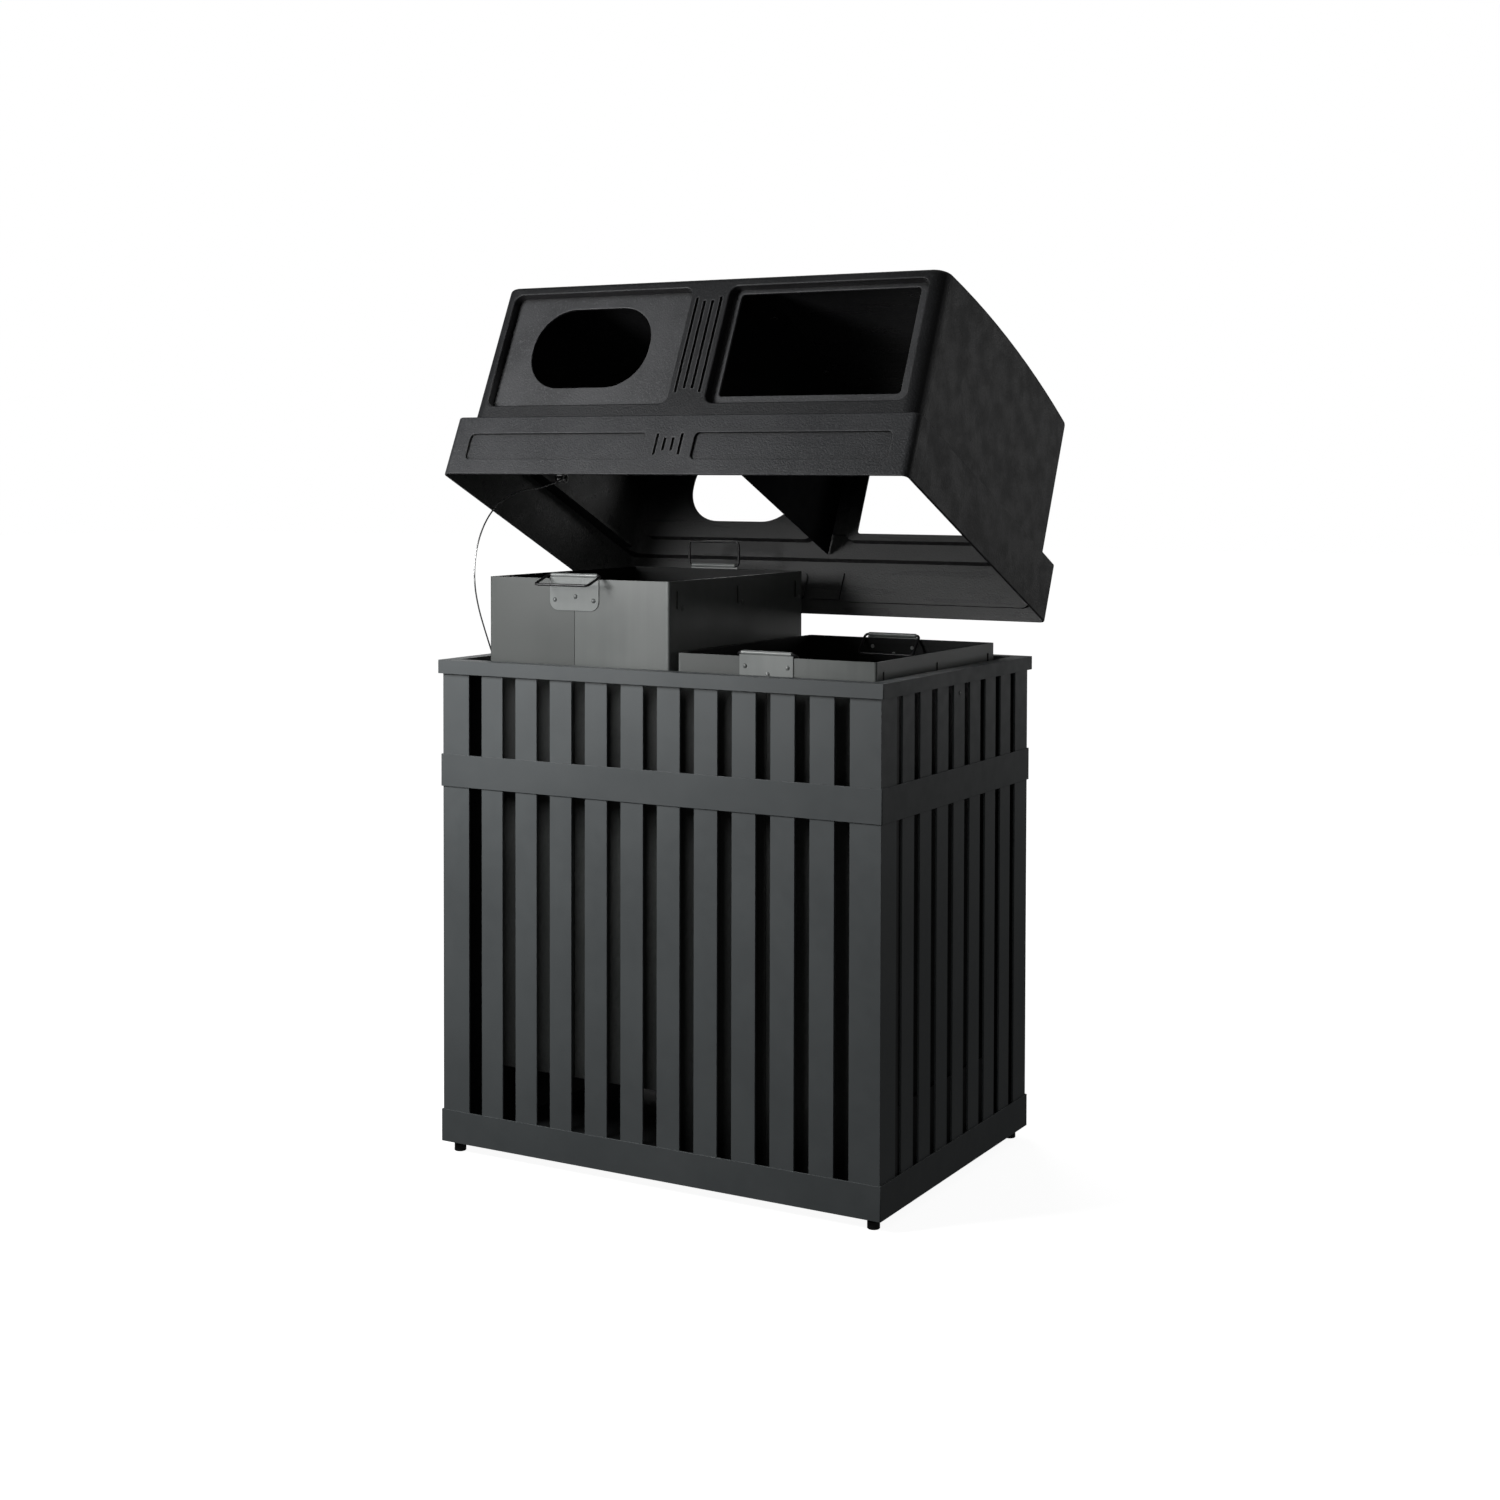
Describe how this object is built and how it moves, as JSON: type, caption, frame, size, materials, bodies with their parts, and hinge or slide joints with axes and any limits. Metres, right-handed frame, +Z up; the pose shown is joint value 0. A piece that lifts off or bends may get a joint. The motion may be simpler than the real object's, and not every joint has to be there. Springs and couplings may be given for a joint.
{
  "type": "two-stream litter bin",
  "caption": "Free-standing slatted steel litter and recycling bin with two lift-out liners and a moulded tip-up hood on a lanyard.",
  "frame": {"origin": "on the ground at the centre of the whole bin's plan box, with its lid tipped back as shown", "axes": "+Z up, -Y towards the front openings, +X to the right when facing the front"},
  "size_m": [0.964, 0.8078, 1.624],
  "materials": {
    "rim_paint": "fine-texture powder coat, charcoal",
    "band_paint": "fine-texture powder coat, charcoal",
    "slat_paint": "fine-texture powder coat, charcoal",
    "pan_paint": "satin powder coat, black",
    "foot_steel": "black zinc with a hard cap",
    "liner_paint": "semi-gloss coat over galvanised sheet, dark grey",
    "handle_paint": "semi-gloss coat, dark grey",
    "rivet_steel": "coated rivets with worn edges",
    "bail_wire": "black coated wire",
    "lid_plastic": "rotomoulded, orange-peel grain, charcoal",
    "screw_steel": "stainless pan heads",
    "cable_steel": "thin wire rope under clear coating",
    "fitting_steel": "plain zinc"
  },
  "bodies": {
    "body": {"rim_frame": "rim_paint", "mid_band": "band_paint", "bottom_band": "band_paint", "floor_pan": "pan_paint", "liner_rails": "pan_paint", "liner_guides": "pan_paint", "foot_nuts": "pan_paint", "corner_post_front_left": "slat_paint", "corner_post_front_right": "slat_paint", "corner_post_back_left": "slat_paint", "corner_post_back_right": "slat_paint", "front_slat_01": "slat_paint", "front_slat_02": "slat_paint", "front_slat_03": "slat_paint", "front_slat_04": "slat_paint", "front_slat_05": "slat_paint", "front_slat_06": "slat_paint", "front_slat_07": "slat_paint", "front_slat_08": "slat_paint", "front_slat_09": "slat_paint", "front_slat_10": "slat_paint", "back_slat_01": "slat_paint", "back_slat_02": "slat_paint", "back_slat_03": "slat_paint", "back_slat_04": "slat_paint", "back_slat_05": "slat_paint", "back_slat_06": "slat_paint", "back_slat_07": "slat_paint", "back_slat_08": "slat_paint", "back_slat_09": "slat_paint", "back_slat_10": "slat_paint", "left_side_slats": "slat_paint", "right_side_slats": "slat_paint", "side_screws": "rivet_steel", "lanyard_cable": "cable_steel", "lanyard_body_anchor": "fitting_steel"},
    "lid": {"lid_hood": "lid_plastic", "lid_divider": "lid_plastic", "divider_screws": "screw_steel", "lanyard_eye": "fitting_steel", "lanyard_lid_ferrule": "fitting_steel"},
    "left_liner": {"liner_left": "liner_paint", "plate_rivets_left": "rivet_steel", "side_rivets_left": "rivet_steel", "handle_plate_left_front": "handle_paint", "handle_plate_left_back": "handle_paint"},
    "right_liner": {"liner_right": "liner_paint", "plate_rivets_right": "rivet_steel", "side_rivets_right": "rivet_steel", "handle_plate_right_front": "handle_paint", "handle_plate_right_back": "handle_paint"},
    "left_front_bail": {"bail_left_front": "bail_wire"},
    "left_back_bail": {"bail_left_back": "bail_wire"},
    "right_front_bail": {"bail_right_front": "bail_wire"},
    "right_back_bail": {"bail_right_back": "bail_wire"},
    "foot_front_left": {"levelling_foot_front_left": "foot_steel"},
    "foot_front_right": {"levelling_foot_front_right": "foot_steel"},
    "foot_back_left": {"levelling_foot_back_left": "foot_steel"},
    "foot_back_right": {"levelling_foot_back_right": "foot_steel"}
  },
  "joints": [
    {"name": "lid_tip", "type": "hinge", "parent": "body", "child": "lid", "pos_m": [0, 0.65789, 0.90868], "axis": [-1, 0, 0], "range_deg": [-24.6, 13], "deforming": ["lanyard_cable"]},
    {"name": "left_liner_lift", "type": "slide", "parent": "body", "child": "left_liner", "axis": [0, 0, 1], "range_m": [-0.126, 0.17]},
    {"name": "right_liner_lift", "type": "slide", "parent": "body", "child": "right_liner", "axis": [0, 0, 1], "range_m": [0, 0.3]},
    {"name": "left_front_bail_swing", "type": "hinge", "parent": "left_liner", "child": "left_front_bail", "pos_m": [-0.2125, -0.31825, 1.0805], "axis": [1, 0, 0], "range_deg": [-247, 41]},
    {"name": "left_back_bail_swing", "type": "hinge", "parent": "left_liner", "child": "left_back_bail", "pos_m": [-0.2125, 0.18625, 1.0805], "axis": [1, 0, 0], "range_deg": [-122, 138]},
    {"name": "right_front_bail_swing", "type": "hinge", "parent": "right_liner", "child": "right_front_bail", "pos_m": [0.1905, -0.31825, 0.9545], "axis": [1, 0, 0], "range_deg": [0, 288]},
    {"name": "right_back_bail_swing", "type": "hinge", "parent": "right_liner", "child": "right_back_bail", "pos_m": [0.1905, 0.18625, 0.9545], "axis": [1, 0, 0], "range_deg": [-260, 0]},
    {"name": "foot_front_left_turn", "type": "hinge", "parent": "body", "child": "foot_front_left", "pos_m": [-0.431, -0.376, 0.01], "axis": [0, 0, 1], "continuous": true},
    {"name": "foot_front_right_turn", "type": "hinge", "parent": "body", "child": "foot_front_right", "pos_m": [0.431, -0.376, 0.01], "axis": [0, 0, 1], "continuous": true},
    {"name": "foot_back_left_turn", "type": "hinge", "parent": "body", "child": "foot_back_left", "pos_m": [-0.431, 0.211, 0.01], "axis": [0, 0, 1], "continuous": true},
    {"name": "foot_back_right_turn", "type": "hinge", "parent": "body", "child": "foot_back_right", "pos_m": [0.431, 0.211, 0.01], "axis": [0, 0, 1], "continuous": true}
  ]
}
